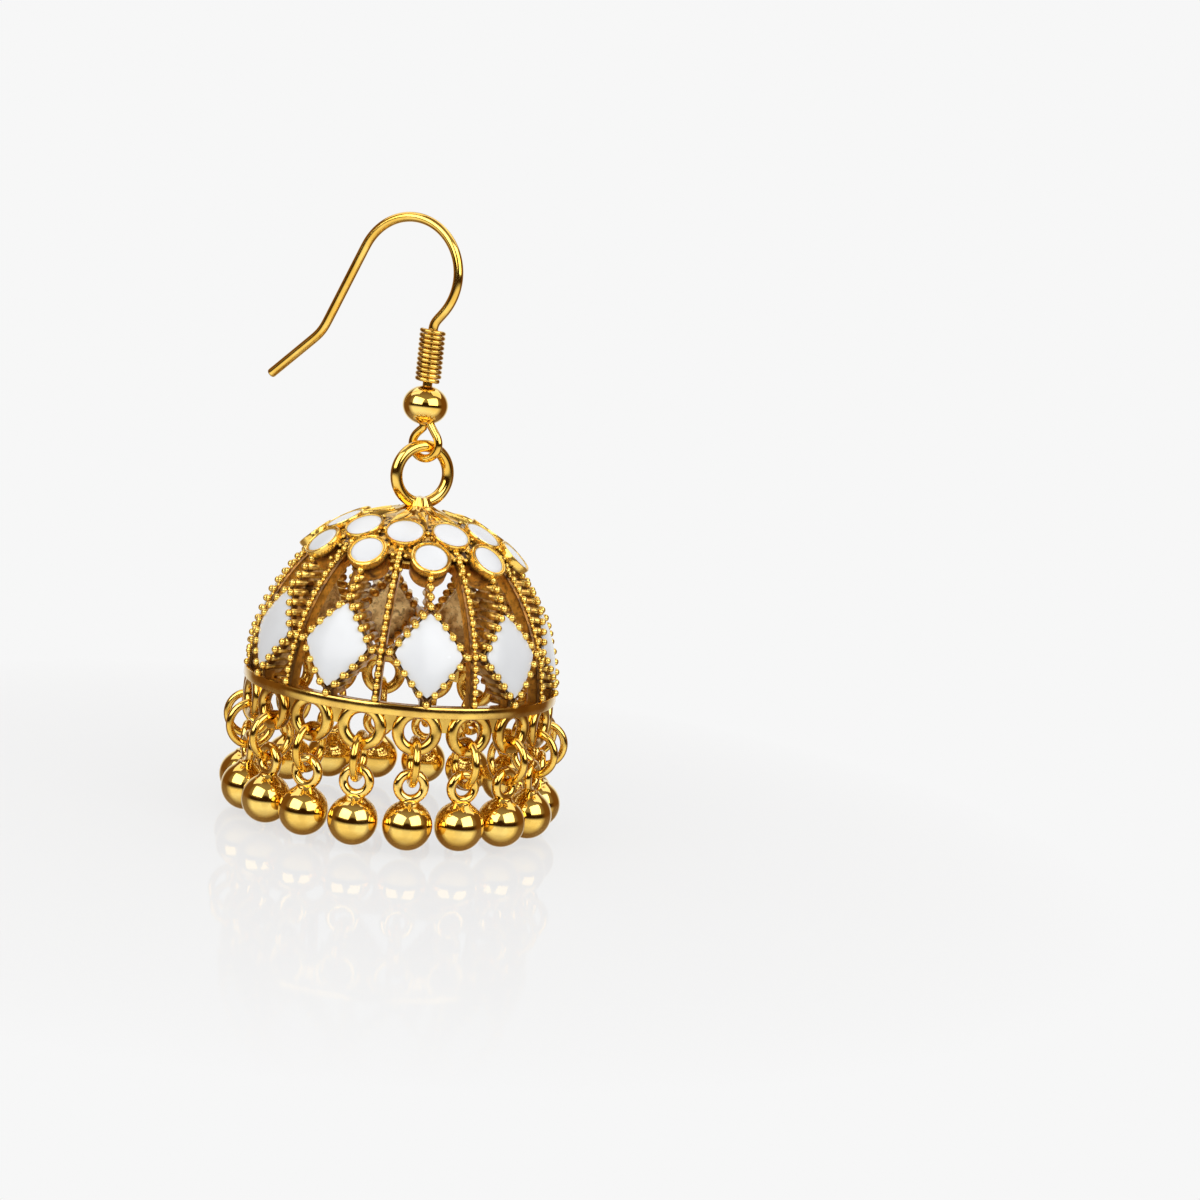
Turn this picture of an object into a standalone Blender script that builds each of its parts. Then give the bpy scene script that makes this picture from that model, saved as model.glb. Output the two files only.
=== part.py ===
"""Bell drop earring: an ear wire with a coil and a bead, carrying an openwork enamelled bell fringed with ball drops.

The origin is the inside top of the ear wire's arch, where the earring hangs. +Z is up, and the ear wire lies in the
XZ plane with its free tail towards -X. The bell hangs straight down on its bail ring.
"""

import math

import bmesh
import bpy
from mathutils import Matrix, Vector

MM = 0.001

# Ear wire: one round wire, from the free tip over the arch and down the shaft to the loop.
WIRE_DIAMETER = 0.75 * MM
ARCH_INNER_RADIUS = 4.575 * MM
ARCH_END_TURN = -42.0
SHAFT_OFFSET = 3.0 * MM
SHAFT_TOP_DROP = 9.1 * MM
SHAFT_BEND_RADIUS = 1.2 * MM
TAIL_BEND_REACH = 8.15 * MM
TAIL_BEND_DROP = 10.6 * MM
TAIL_BEND_RADIUS = 1.6 * MM
TIP_REACH = 13.1 * MM
TIP_DROP = 15.0 * MM
LOOP_RADIUS = 1.3 * MM
LOOP_NECK = 1.4 * MM
LOOP_LEG_GAP = 0.05 * MM

# Coil and bead threaded on the shaft.
COIL_WIRE_DIAMETER = 0.36 * MM
COIL_RADIUS = 1.0 * MM
COIL_LENGTH = 4.6 * MM
COIL_TURNS = 11
COIL_POINTS_PER_TURN = 8
BEAD_DIAMETER = 4.0 * MM
BEAD_HEIGHT = 3.5 * MM
BEAD_BORE_CLEARANCE = 0.08 * MM
THREAD_GAP = 0.25 * MM

# Bail ring and its cone foot, soldered on the bell.
BAIL_OUTER_DIAMETER = 6.2 * MM
BAIL_WIRE_DIAMETER = 1.1 * MM
BAIL_CLEARANCE = 0.2 * MM
FOOT_BASE_RADIUS = 1.45 * MM
FOOT_TOP_RADIUS = 0.7 * MM
FOOT_HEIGHT = 0.95 * MM
FOOT_SINK = 0.3 * MM

# Openwork bell: half an ellipsoid of ribs and lozenges on a plain band.
BELL_TURN = math.radians(55.0)
DOME_RADIUS = 13.7 * MM
DOME_HEIGHT = 15.8 * MM
DOME_WALL = 1.7 * MM
PANELS = 10
RIB_WIDTH = 0.85 * MM
DIAMOND_FOOT = 1.0 * MM
DIAMOND_MIDDLE_HEIGHT = 5.2 * MM
DIAMOND_TOP_HEIGHT = 9.4 * MM
JUNCTION_HEIGHT = 0.6 * MM
JUNCTION_WIDTH = 0.3 * MM
CAP_EDGE_HEIGHT = 11.7 * MM
CAP_ROWS = 4
CAP_RAISE = 0.3 * MM
BAND_PROUD = 0.3 * MM
BAND_WIDTH = 2.15 * MM
BAND_HEIGHT = 1.0 * MM

# Round enamel settings on the cap: a proud outer row of cups and a low inner row of discs.
CUP_CIRCLE = 8.5 * MM
CUP_RADIUS = 1.77 * MM
CUP_RISE = 0.9 * MM
CUP_DEPTH = 1.25 * MM
DISC_CIRCLE = 6.15 * MM
DISC_RADIUS = 1.75 * MM
DISC_RISE = 0.8 * MM
DISC_DEPTH = 0.8 * MM

# Enamel lozenges laid inside the borders.
ENAMEL_MARGIN = 0.62 * MM
ENAMEL_THICKNESS = 0.3 * MM
ENAMEL_GAP = 0.05 * MM

# Fringe: eyelets under the band, a jump ring in each, a ball with a cast loop on each ring.
DROPS = 18
EYELET_INSET = 0.7 * MM
EYELET_RADIUS = 2.15 * MM
EYELET_HOLE_RADIUS = 1.2 * MM
EYELET_THICKNESS = 1.1 * MM
EYELET_BEVEL = 0.27 * MM
EYELET_TUCK = 0.05 * MM
JUMP_RING_DIAMETER = 4.5 * MM
JUMP_WIRE_DIAMETER = 0.7 * MM
DROP_LOOP_DIAMETER = 3.1 * MM
DROP_LOOP_WIRE = 0.85 * MM
DROP_LOOP_SINK = 0.3 * MM
BALL_DIAMETER = 4.3 * MM
LINK_CLEARANCE = 0.12 * MM

# Places worked out from the sizes above.
wire_radius = WIRE_DIAMETER / 2
bell_axis = SHAFT_OFFSET + (WIRE_DIAMETER + LOOP_LEG_GAP) / 2
arch_radius = ARCH_INNER_RADIUS + wire_radius
coil_top = -SHAFT_TOP_DROP
coil_bottom = coil_top - COIL_LENGTH
bead_centre = coil_bottom - COIL_WIRE_DIAMETER / 2 - THREAD_GAP - BEAD_HEIGHT / 2
loop_neck_height = bead_centre - BEAD_HEIGHT / 2 - THREAD_GAP
loop_centre = loop_neck_height - LOOP_NECK
swing_height = loop_centre - LOOP_RADIUS
bail_inner_radius = BAIL_OUTER_DIAMETER / 2 - BAIL_WIRE_DIAMETER
bail_centre = swing_height + wire_radius + BAIL_CLEARANCE - bail_inner_radius
dome_top = bail_centre - BAIL_OUTER_DIAMETER / 2
bell_base = dome_top - DOME_HEIGHT - CAP_RAISE
band_outer_radius = DOME_RADIUS + BAND_PROUD
eyelet_circle = band_outer_radius - EYELET_INSET
eyelet_centre = -EYELET_HOLE_RADIUS - EYELET_TUCK
jump_inner_radius = JUMP_RING_DIAMETER / 2 - JUMP_WIRE_DIAMETER
jump_centre = eyelet_centre - EYELET_HOLE_RADIUS + LINK_CLEARANCE - jump_inner_radius
drop_loop_inner_radius = DROP_LOOP_DIAMETER / 2 - DROP_LOOP_WIRE
drop_loop_centre = jump_centre - jump_inner_radius + LINK_CLEARANCE - drop_loop_inner_radius
ball_offset = DROP_LOOP_DIAMETER / 2 + BALL_DIAMETER / 2 - DROP_LOOP_SINK

for old in list(bpy.data.objects):
    bpy.data.objects.remove(old, do_unlink=True)

scene_collection = bpy.context.scene.collection
parts = bpy.data.collections.new("bell_drop_earring")
guides = bpy.data.collections.new("cutters")
scene_collection.children.link(parts)
scene_collection.children.link(guides)


def material(name, colour, roughness, metallic):
    """A Principled material."""
    made = bpy.data.materials.new(name)
    made.use_nodes = True
    shader = made.node_tree.nodes["Principled BSDF"]
    shader.inputs["Base Color"].default_value = (*colour, 1.0)
    shader.inputs["Roughness"].default_value = roughness
    shader.inputs["Metallic"].default_value = metallic
    return made


def place(name, data, finish=None, collection=parts):
    """A new object for a mesh or curve."""
    made = bpy.data.objects.new(name, data)
    collection.objects.link(made)
    if finish and finish.name not in data.materials:
        data.materials.append(finish)
    return made


def mesh_from(name, bm):
    """A mesh from a bmesh, which is freed."""
    data = bpy.data.meshes.new(name)
    bm.to_mesh(data)
    bm.free()
    return data


def shade(data, degrees=40):
    """Smooth shading with sharp edges kept."""
    data.shade_smooth()
    data.set_sharp_from_angle(angle=math.radians(degrees))


def guide(name, bm):
    """A hidden solid for a Boolean."""
    made = place(name, mesh_from(name, bm), collection=guides)
    made.hide_render = True
    made.display_type = "WIRE"
    return made


def unite(target, other):
    """Joins another solid to the target with a Boolean modifier."""
    union = target.modifiers.new(other.name, "BOOLEAN")
    union.operation = "UNION"
    union.solver = "EXACT"
    union.object = other


def flatten(target):
    """The mesh that the target's modifiers give."""
    graph = bpy.context.evaluated_depsgraph_get()
    return bpy.data.meshes.new_from_object(target.evaluated_get(graph), depsgraph=graph)


def arc(centre, radius, start, end, steps):
    """Points along an arc in the XZ plane, angles in degrees from +X towards +Z."""
    points = []
    for i in range(steps + 1):
        angle = math.radians(start + (end - start) * i / steps)
        points.append(centre + radius * Vector((math.cos(angle), 0.0, math.sin(angle))))
    return points


def rounded(before, corner, after, radius, steps):
    """Points of an arc of the given radius that rounds the corner between two straight runs."""
    towards_before = (before - corner).normalized()
    towards_after = (after - corner).normalized()
    half = towards_before.angle(towards_after) / 2
    bisector = (towards_before + towards_after).normalized()
    centre = corner + bisector * radius / math.sin(half)
    first = corner + towards_before * radius / math.tan(half) - centre
    last = corner + towards_after * radius / math.tan(half) - centre
    turn = first.angle(last)
    points = []
    for i in range(steps + 1):
        share = i / steps
        blend = first * math.sin((1 - share) * turn) + last * math.sin(share * turn)
        points.append(centre + blend / math.sin(turn))
    return points


def wire(name, points, radius, finish, resolution=2):
    """A round wire along a list of points, with filled ends."""
    curve = bpy.data.curves.new(name, "CURVE")
    curve.dimensions = "3D"
    curve.bevel_depth = radius
    curve.bevel_resolution = resolution
    curve.use_fill_caps = True
    spline = curve.splines.new("POLY")
    spline.points.add(len(points) - 1)
    for point, place_at in zip(spline.points, points):
        point.co = (*place_at, 1.0)
    spline.use_smooth = True
    return place(name, curve, finish)


gold = material("antique_gold", (0.72, 0.45, 0.12), 0.25, 1.0)
gold_wire = material("gold_wire", (0.80, 0.55, 0.18), 0.2, 1.0)
white_enamel = material("white_enamel", (0.92, 0.92, 0.93), 0.12, 0.0)


def tangent_angle(centre, radius, point, side):
    """The angle in degrees, in the XZ plane, where the line from a point touches a circle."""
    away = point - centre
    heading = math.degrees(math.atan2(away.z, away.x))
    opening = math.degrees(math.acos(radius / away.length))
    return heading + side * opening


def ear_wire_points():
    """The centre line of the ear wire, from the tip of the tail to the end of the loop."""
    arch = Vector((0.0, 0.0, -ARCH_INNER_RADIUS))
    tip = Vector((-TIP_REACH, 0.0, -TIP_DROP))
    bend = Vector((-TAIL_BEND_REACH, 0.0, -TAIL_BEND_DROP))
    shaft_end = Vector((SHAFT_OFFSET, 0.0, loop_neck_height))
    tail_angle = tangent_angle(arch, arch_radius, bend, -1) % 360
    top_run = arc(arch, arch_radius, tail_angle, ARCH_END_TURN, 14)
    end_turn = math.radians(ARCH_END_TURN)
    heading = Vector((math.sin(end_turn), 0.0, -math.cos(end_turn)))
    shaft_corner = top_run[-1] + heading * (SHAFT_OFFSET - top_run[-1].x) / heading.x
    points = [tip]
    points += rounded(tip, bend, top_run[0], TAIL_BEND_RADIUS, 4)
    points += top_run
    points += rounded(top_run[-1], shaft_corner, shaft_end, SHAFT_BEND_RADIUS, 2)
    points += [shaft_end]
    loop = Vector((bell_axis, 0.0, loop_centre))
    start = tangent_angle(loop, LOOP_RADIUS, shaft_end, 1)
    points += arc(loop, LOOP_RADIUS, start, start + 360 - 2 * (start - 90), 12)
    points += [Vector((2 * bell_axis - SHAFT_OFFSET, 0.0, loop_neck_height))]
    return points


def coil_points():
    """A helix round the shaft."""
    points = []
    for i in range(COIL_TURNS * COIL_POINTS_PER_TURN + 1):
        share = i / (COIL_TURNS * COIL_POINTS_PER_TURN)
        angle = 2 * math.pi * i / COIL_POINTS_PER_TURN
        height = coil_top - COIL_WIRE_DIAMETER / 2 - share * (COIL_LENGTH - COIL_WIRE_DIAMETER / 2)
        across = COIL_RADIUS * math.cos(angle)
        points.append(Vector((SHAFT_OFFSET + across, COIL_RADIUS * math.sin(angle), height)))
    return points


def bead():
    """A slightly flattened round bead, bored for the shaft, turned from a closed profile."""
    bore = wire_radius + BEAD_BORE_CLEARANCE
    bm = bmesh.new()
    profile = []
    start = math.acos(bore / (BEAD_DIAMETER / 2))
    steps = 6
    for i in range(steps + 1):
        angle = start - 2 * start * i / steps
        across = BEAD_DIAMETER / 2 * math.cos(angle)
        profile.append(bm.verts.new((across, 0.0, BEAD_HEIGHT / 2 * math.sin(angle))))
    for one, other in zip(profile, profile[1:] + profile[:1]):
        bm.edges.new((one, other))
    made = place("hook_bead", mesh_from("hook_bead", bm), gold)
    turned(made, 16)
    made.location = (SHAFT_OFFSET, 0.0, bead_centre)
    return made


def turned(target, steps):
    """Turns a profile at +X round the Z axis."""
    screw = target.modifiers.new("turn", "SCREW")
    screw.steps = steps
    screw.render_steps = steps
    screw.use_merge_vertices = True
    screw.merge_threshold = 0.00001
    screw.use_smooth_shade = True


def dome_radius_at(height, offset=0.0):
    """The dome's outer radius at a height over the band's lower edge."""
    share = min(1.0, height / (DOME_HEIGHT + offset))
    return (DOME_RADIUS + offset) * math.sqrt(1.0 - share * share)


def dome_height_at(radius):
    """The dome's height over the band's lower edge at a radius from the bell's axis."""
    return DOME_HEIGHT * math.sqrt(1.0 - (radius / DOME_RADIUS) ** 2)


def dome_point(angle, height, offset=0.0):
    """A point on the dome's outer surface, at an angle from the bail ring's plane."""
    radius = dome_radius_at(height, offset)
    return Vector((radius * math.cos(angle), radius * math.sin(angle), height))


def dome_normal(angle, height):
    """The outward normal of the dome at a point."""
    radius = dome_radius_at(height)
    out = radius / DOME_RADIUS**2
    return Vector((out * math.cos(angle), out * math.sin(angle), height / DOME_HEIGHT**2)).normalized()


def lattice_rows():
    """Heights of the openwork's rows, each with the two angles that bound the gap beside the panel's middle,
    and whether the gap above the row is open."""
    half_panel = math.pi / PANELS
    base = BAND_HEIGHT / 2
    low = DIAMOND_MIDDLE_HEIGHT - JUNCTION_HEIGHT / 2
    high = DIAMOND_MIDDLE_HEIGHT + JUNCTION_HEIGHT / 2
    rows = []

    def row(height, inner_width, is_open):
        radius = dome_radius_at(height)
        outer = half_panel - RIB_WIDTH / 2 / radius
        widest = outer - JUNCTION_WIDTH / radius
        inner = DIAMOND_FOOT / 2 / radius if inner_width is None else inner_width / radius
        rows.append((height, min(inner, widest), outer, is_open))

    widest_width = dome_radius_at(low) * half_panel - RIB_WIDTH / 2 - JUNCTION_WIDTH
    for share in (0.0, 1 / 3, 2 / 3, 1.0):
        height = base + (low - base) * share
        width = DIAMOND_FOOT / 2 + (widest_width - DIAMOND_FOOT / 2) * share
        row(height, width, share < 1.0)
    for share in (0.0, 1 / 3, 2 / 3, 1.0):
        height = high + (DIAMOND_TOP_HEIGHT - high) * share
        width = widest_width + (RIB_WIDTH / 2 - widest_width) * share
        row(height, width, True)
    middle = (DIAMOND_TOP_HEIGHT + CAP_EDGE_HEIGHT) / 2
    row(middle, RIB_WIDTH / 2, True)
    row(CAP_EDGE_HEIGHT, RIB_WIDTH / 2, False)
    cap_height = DOME_HEIGHT + CAP_RAISE
    edge_lift = math.asin(CAP_EDGE_HEIGHT / cap_height)
    for i in range(1, CAP_ROWS + 1):
        lift = edge_lift + (math.radians(86) - edge_lift) * i / CAP_ROWS
        rows.append((cap_height * math.sin(lift), half_panel / 3, half_panel * 2 / 3, False))
    return rows


def openwork():
    """The dome: closed cap over ribs and lozenges with the gaps left open, thickened inwards."""
    half_panel = math.pi / PANELS
    bm = bmesh.new()
    rings = []
    rows = lattice_rows()
    for number, (height, inner, outer, _) in enumerate(rows):
        turns = [-half_panel, -outer, -inner, 0.0, inner, outer]
        if number > len(rows) - CAP_ROWS:
            turns = turns[::2]
        raised = CAP_RAISE if number >= len(rows) - CAP_ROWS else 0.0
        ring = []
        for panel in range(PANELS):
            middle = 2 * half_panel * panel
            ring += [bm.verts.new(dome_point(middle + turn, height, raised)) for turn in turns]
        rings.append(ring)
    gap_columns = (1, 4)
    columns = 6
    for (_, _, _, is_open), lower, upper in zip(rows, rings, rings[1:]):
        step = len(lower) // len(upper)
        for i in range(len(upper)):
            if is_open and i % columns in gap_columns:
                continue
            below = [lower[(i * step + k) % len(lower)] for k in range(step + 1)]
            bm.faces.new((*below, upper[(i + 1) % len(upper)], upper[i]))
    bm.faces.new(rings[-1])
    made = place("bell", mesh_from("bell", bm), gold)
    wall = made.modifiers.new("wall", "SOLIDIFY")
    wall.thickness = DOME_WALL
    wall.offset = -1.0
    return made


def band_guide():
    """The plain band round the mouth, a turned ring of rectangular section."""
    bm = bmesh.new()
    inner = band_outer_radius - BAND_WIDTH
    corners = [(band_outer_radius, BAND_HEIGHT), (band_outer_radius, 0.0), (inner, 0.0), (inner, BAND_HEIGHT)]
    points = [bm.verts.new((across, 0.0, height)) for across, height in corners]
    for one, other in zip(points, points[1:] + points[:1]):
        bm.edges.new((one, other))
    made = guide("band", bm)
    turned(made, 48)
    return made


def setting_guide(name, circle, radius, rise, depth, phase):
    """A row of round settings standing square on the dome."""
    bm = bmesh.new()
    height = dome_height_at(circle)
    for i in range(PANELS):
        angle = (i + phase) * 2 * math.pi / PANELS
        normal = dome_normal(angle, height)
        middle = dome_point(angle, height) + normal * (rise - depth) / 2
        turn = normal.to_track_quat("Z", "X").to_matrix().to_4x4()
        bmesh.ops.create_cone(
            bm,
            cap_ends=True,
            segments=10,
            radius1=radius,
            radius2=radius,
            depth=rise + depth,
            matrix=Matrix.Translation(middle) @ turn,
        )
    return guide(name, bm)


def eyelet_guide():
    """The eyelets: flat rings with bevelled edges, standing in a circle under the band and facing outwards."""
    half = EYELET_THICKNESS / 2
    section = (
        (EYELET_HOLE_RADIUS, 0.0),
        (EYELET_HOLE_RADIUS + EYELET_BEVEL, half),
        (EYELET_RADIUS - EYELET_BEVEL, half),
        (EYELET_RADIUS, 0.0),
        (EYELET_RADIUS - EYELET_BEVEL, -half),
        (EYELET_HOLE_RADIUS + EYELET_BEVEL, -half),
    )
    sides = 10
    bm = bmesh.new()
    for i in range(DROPS):
        around = Matrix.Rotation((i + 0.5) * 2 * math.pi / DROPS, 4, "Z")
        seat = around @ Matrix.Translation((eyelet_circle, 0.0, eyelet_centre))
        rings = []
        for k in range(sides):
            turn = 2 * math.pi * k / sides
            ring = []
            for reach, depth in section:
                point = Vector((depth, reach * math.sin(turn), -reach * math.cos(turn)))
                ring.append(bm.verts.new(seat @ point))
            rings.append(ring)
        for ring, following in zip(rings, rings[1:] + rings[:1]):
            for j in range(len(section)):
                k = (j + 1) % len(section)
                bm.faces.new((ring[j], following[j], following[k], ring[k]))
    bmesh.ops.recalc_face_normals(bm, faces=bm.faces)
    return guide("eyelets", bm)


def foot_guide():
    """The cone under the bail ring."""
    bm = bmesh.new()
    bmesh.ops.create_cone(
        bm,
        cap_ends=True,
        segments=16,
        radius1=FOOT_BASE_RADIUS,
        radius2=FOOT_TOP_RADIUS,
        depth=FOOT_HEIGHT + FOOT_SINK,
        matrix=Matrix.Translation((0.0, 0.0, DOME_HEIGHT + CAP_RAISE + (FOOT_HEIGHT - FOOT_SINK) / 2)),
    )
    return guide("foot", bm)


def ring_mesh(name, outer_diameter, wire_diameter, sides, wire_sides):
    """A round link standing in the XZ plane, centred on the origin."""
    bpy.ops.mesh.primitive_torus_add(
        major_segments=sides,
        minor_segments=wire_sides,
        major_radius=outer_diameter / 2 - wire_diameter / 2,
        minor_radius=wire_diameter / 2,
    )
    made = bpy.context.object
    data = made.data
    data.name = name
    quarter = math.pi / 2
    data.transform(Matrix.Rotation(quarter, 4, "X") @ Matrix.Rotation(quarter, 4, "Z"))
    bpy.data.objects.remove(made, do_unlink=True)
    return data


def bail_guide():
    """The bail ring over the foot."""
    data = ring_mesh("bail_ring", BAIL_OUTER_DIAMETER, BAIL_WIRE_DIAMETER, 16, 6)
    data.transform(Matrix.Translation((0.0, 0.0, bail_centre - bell_base)))
    made = place("bail_ring", data, collection=guides)
    made.hide_render = True
    made.display_type = "WIRE"
    return made


def bell(pivot):
    """The whole soldered bell, one solid, hung under the pivot."""
    made = openwork()
    for other in (
        band_guide(),
        eyelet_guide(),
        setting_guide("cups", CUP_CIRCLE, CUP_RADIUS, CUP_RISE, CUP_DEPTH, 0.0),
        setting_guide("discs", DISC_CIRCLE, DISC_RADIUS, DISC_RISE, DISC_DEPTH, 0.5),
        foot_guide(),
        bail_guide(),
    ):
        unite(made, other)
    joined = flatten(made)
    bpy.data.objects.remove(made, do_unlink=True)
    joined.name = "bell"
    shade(joined)
    made = place("bell", joined, gold)
    hang(made, pivot, 0.0, 0.0, 0.0)
    return made


def hang(target, pivot, angle, circle, height):
    """Hangs a piece under the pivot, at an angle round the bell and a height over the band's lower edge."""
    around = Matrix.Rotation(BELL_TURN + angle, 4, "Z")
    drop = Matrix.Translation((0.0, 0.0, bell_base - swing_height))
    target.parent = pivot
    target.matrix_local = drop @ around @ Matrix.Translation((circle, 0.0, height))


def enamel_mesh():
    """One enamel lozenge, curved as the dome is, in the bell's frame at angle zero."""
    half_height = (DIAMOND_TOP_HEIGHT - BAND_HEIGHT) / 2
    centre = (DIAMOND_TOP_HEIGHT + BAND_HEIGHT) / 2
    half_width = dome_radius_at(DIAMOND_MIDDLE_HEIGHT) * math.pi / PANELS
    diagonal = math.hypot(half_height, half_width)
    share = 1.0 - ENAMEL_MARGIN * diagonal / (half_height * half_width)
    tall = half_height * share
    wide = half_width * share
    bm = bmesh.new()
    steps = 4
    rows = []
    for i in range(steps + 1):
        level = -1.0 + 2.0 * i / steps
        height = centre + tall * level
        reach = wide * (1.0 - abs(level)) / dome_radius_at(height)
        turns = (0.0,) if i in (0, steps) else (-reach, 0.0, reach)
        rows.append([bm.verts.new(dome_point(turn, height, ENAMEL_GAP)) for turn in turns])
    for lower, upper in zip(rows, rows[1:]):
        if len(lower) == 1:
            bm.faces.new((lower[0], upper[1], upper[0]))
            bm.faces.new((lower[0], upper[2], upper[1]))
        elif len(upper) == 1:
            bm.faces.new((lower[0], lower[1], upper[0]))
            bm.faces.new((lower[1], lower[2], upper[0]))
        else:
            bm.faces.new((lower[0], lower[1], upper[1], upper[0]))
            bm.faces.new((lower[1], lower[2], upper[2], upper[1]))
    return mesh_from("enamel_lozenge", bm)


def enamel_lozenges(pivot):
    """An enamel lozenge in each panel."""
    data = enamel_mesh()
    for i in range(PANELS):
        made = place(f"enamel_diamond_{i + 1:02d}", data, white_enamel)
        hang(made, pivot, i * 2 * math.pi / PANELS, 0.0, 0.0)
        coat = made.modifiers.new("thickness", "SOLIDIFY")
        coat.thickness = ENAMEL_THICKNESS
        coat.offset = 1.0


def ball_drop_mesh():
    """A ball with its cast loop, hung by the loop's centre, the loop facing outwards."""
    bm = bmesh.new()
    bmesh.ops.create_uvsphere(
        bm,
        u_segments=10,
        v_segments=7,
        radius=BALL_DIAMETER / 2,
        matrix=Matrix.Translation((0.0, 0.0, -ball_offset)),
    )
    ball = guide("ball", bm)
    loop = ring_mesh("drop_loop", DROP_LOOP_DIAMETER, DROP_LOOP_WIRE, 10, 5)
    loop.transform(Matrix.Rotation(math.pi / 2, 4, "Z"))
    made = place("ball_drop", loop, gold, guides)
    unite(made, ball)
    data = flatten(made)
    bpy.data.objects.remove(made, do_unlink=True)
    shade(data)
    return data


def fringe(pivot):
    """The jump rings and ball drops under the band."""
    ring = ring_mesh("jump_ring", JUMP_RING_DIAMETER, JUMP_WIRE_DIAMETER, 12, 5)
    shade(ring, 80)
    ball = ball_drop_mesh()
    for i in range(DROPS):
        angle = (i + 0.5) * 2 * math.pi / DROPS
        link = place(f"jump_ring_{i + 1:02d}", ring, gold_wire)
        hang(link, pivot, angle, eyelet_circle, jump_centre)
        drop = place(f"ball_drop_{i + 1:02d}", ball, gold)
        hang(drop, pivot, angle, eyelet_circle, drop_loop_centre)


pivot = bpy.data.objects.new("bell_swing", None)
parts.objects.link(pivot)
pivot.location = (bell_axis, 0.0, swing_height)

wire("ear_wire", ear_wire_points(), wire_radius, gold_wire)
wire("wire_coil", coil_points(), COIL_WIRE_DIAMETER / 2, gold_wire, 1)
bead()
bell(pivot)
enamel_lozenges(pivot)
fringe(pivot)
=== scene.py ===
"""The looks of the bell drop earring: metal, enamel and fringe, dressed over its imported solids."""

import math

import bmesh
import bpy
from mathutils import Euler, Matrix, Vector


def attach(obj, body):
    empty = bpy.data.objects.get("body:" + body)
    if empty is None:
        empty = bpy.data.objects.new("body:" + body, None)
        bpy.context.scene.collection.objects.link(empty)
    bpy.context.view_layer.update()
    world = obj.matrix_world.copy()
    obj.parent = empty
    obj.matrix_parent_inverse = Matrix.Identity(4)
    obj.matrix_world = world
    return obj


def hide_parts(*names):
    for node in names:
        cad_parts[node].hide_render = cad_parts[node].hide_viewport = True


# Camera. The earring is seen from the right of the ear wire's plane and a little above the band,
# by a short tele lens, and the frame is rolled because the earring leans in it.
MM = 0.001
EYE = Vector((95.0, -176.0, -4.5)) * MM
HEADING = 22.6
DIP = 7.74
ROLL = 6.52
FOCUS_IN_FRAMES = 2234 / 1200

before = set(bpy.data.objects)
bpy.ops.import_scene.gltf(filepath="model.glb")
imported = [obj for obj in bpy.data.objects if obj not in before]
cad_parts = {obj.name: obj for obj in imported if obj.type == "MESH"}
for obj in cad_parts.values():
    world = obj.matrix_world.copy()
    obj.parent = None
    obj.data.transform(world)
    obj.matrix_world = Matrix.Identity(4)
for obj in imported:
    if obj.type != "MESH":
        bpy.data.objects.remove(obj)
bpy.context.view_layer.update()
scene = bpy.context.scene
scene.view_settings.view_transform = "Standard"
camera = bpy.data.objects.new("camera", bpy.data.cameras.new("camera"))
scene.collection.objects.link(camera)
camera.data.lens = camera.data.sensor_width * FOCUS_IN_FRAMES
camera.data.clip_start = 0.01
camera.location = EYE
aim = Euler((math.radians(90 - DIP), 0.0, math.radians(HEADING))).to_matrix()
camera.rotation_euler = (aim @ Matrix.Rotation(math.radians(ROLL), 3, "Z")).to_euler()
scene.camera = camera

# Floor and light. A pale glossy floor just under the lowest drops, faded out towards its edge, two large
# softboxes before the earring and two above and behind it, and a pale room with a dusky horizon in front.
FLOOR_HEIGHT = -53.2 * MM
FLOOR_RADIUS = 150 * MM
FADE_START = 34 * MM
FADE_END = 88 * MM
FLOOR_WHITE = (0.47, 0.47, 0.47, 1.0)
FLOOR_COVER = 0.45
SOFTBOXES = ((-15, 31, 0.33, 0.26, 2.9), (70, 31, 0.33, 0.26, 2.9),
             (160, 58, 0.30, 0.24, 1.2), (255, 58, 0.30, 0.24, 1.2))
SOFTBOX_DISTANCE = 0.36
LIT_POINT = Vector((3.4, 0, -38)) * MM
FRONT_TURN = math.radians(27.5)
ROOM_WHITE = (0.93, 0.93, 0.93)
ROOM_FILL = (0.86, 0.86, 0.86)
DUSK = (0.03, 0.012, 0.002)
AMBER = (0.19, 0.09, 0.025)
FLOOR_TO_CEILING = ((0.0, (0.7, 0.62, 0.52)), (0.2, (1.25, 1.2, 1.12)), (0.39, (1.1, 1.04, 0.94)),
                    (0.462, DUSK), (0.555, DUSK), (0.60, (0.35, 0.27, 0.18)),
                    (0.8, (0.4, 0.36, 0.3)), (1.0, (0.3, 0.24, 0.18)))


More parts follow.
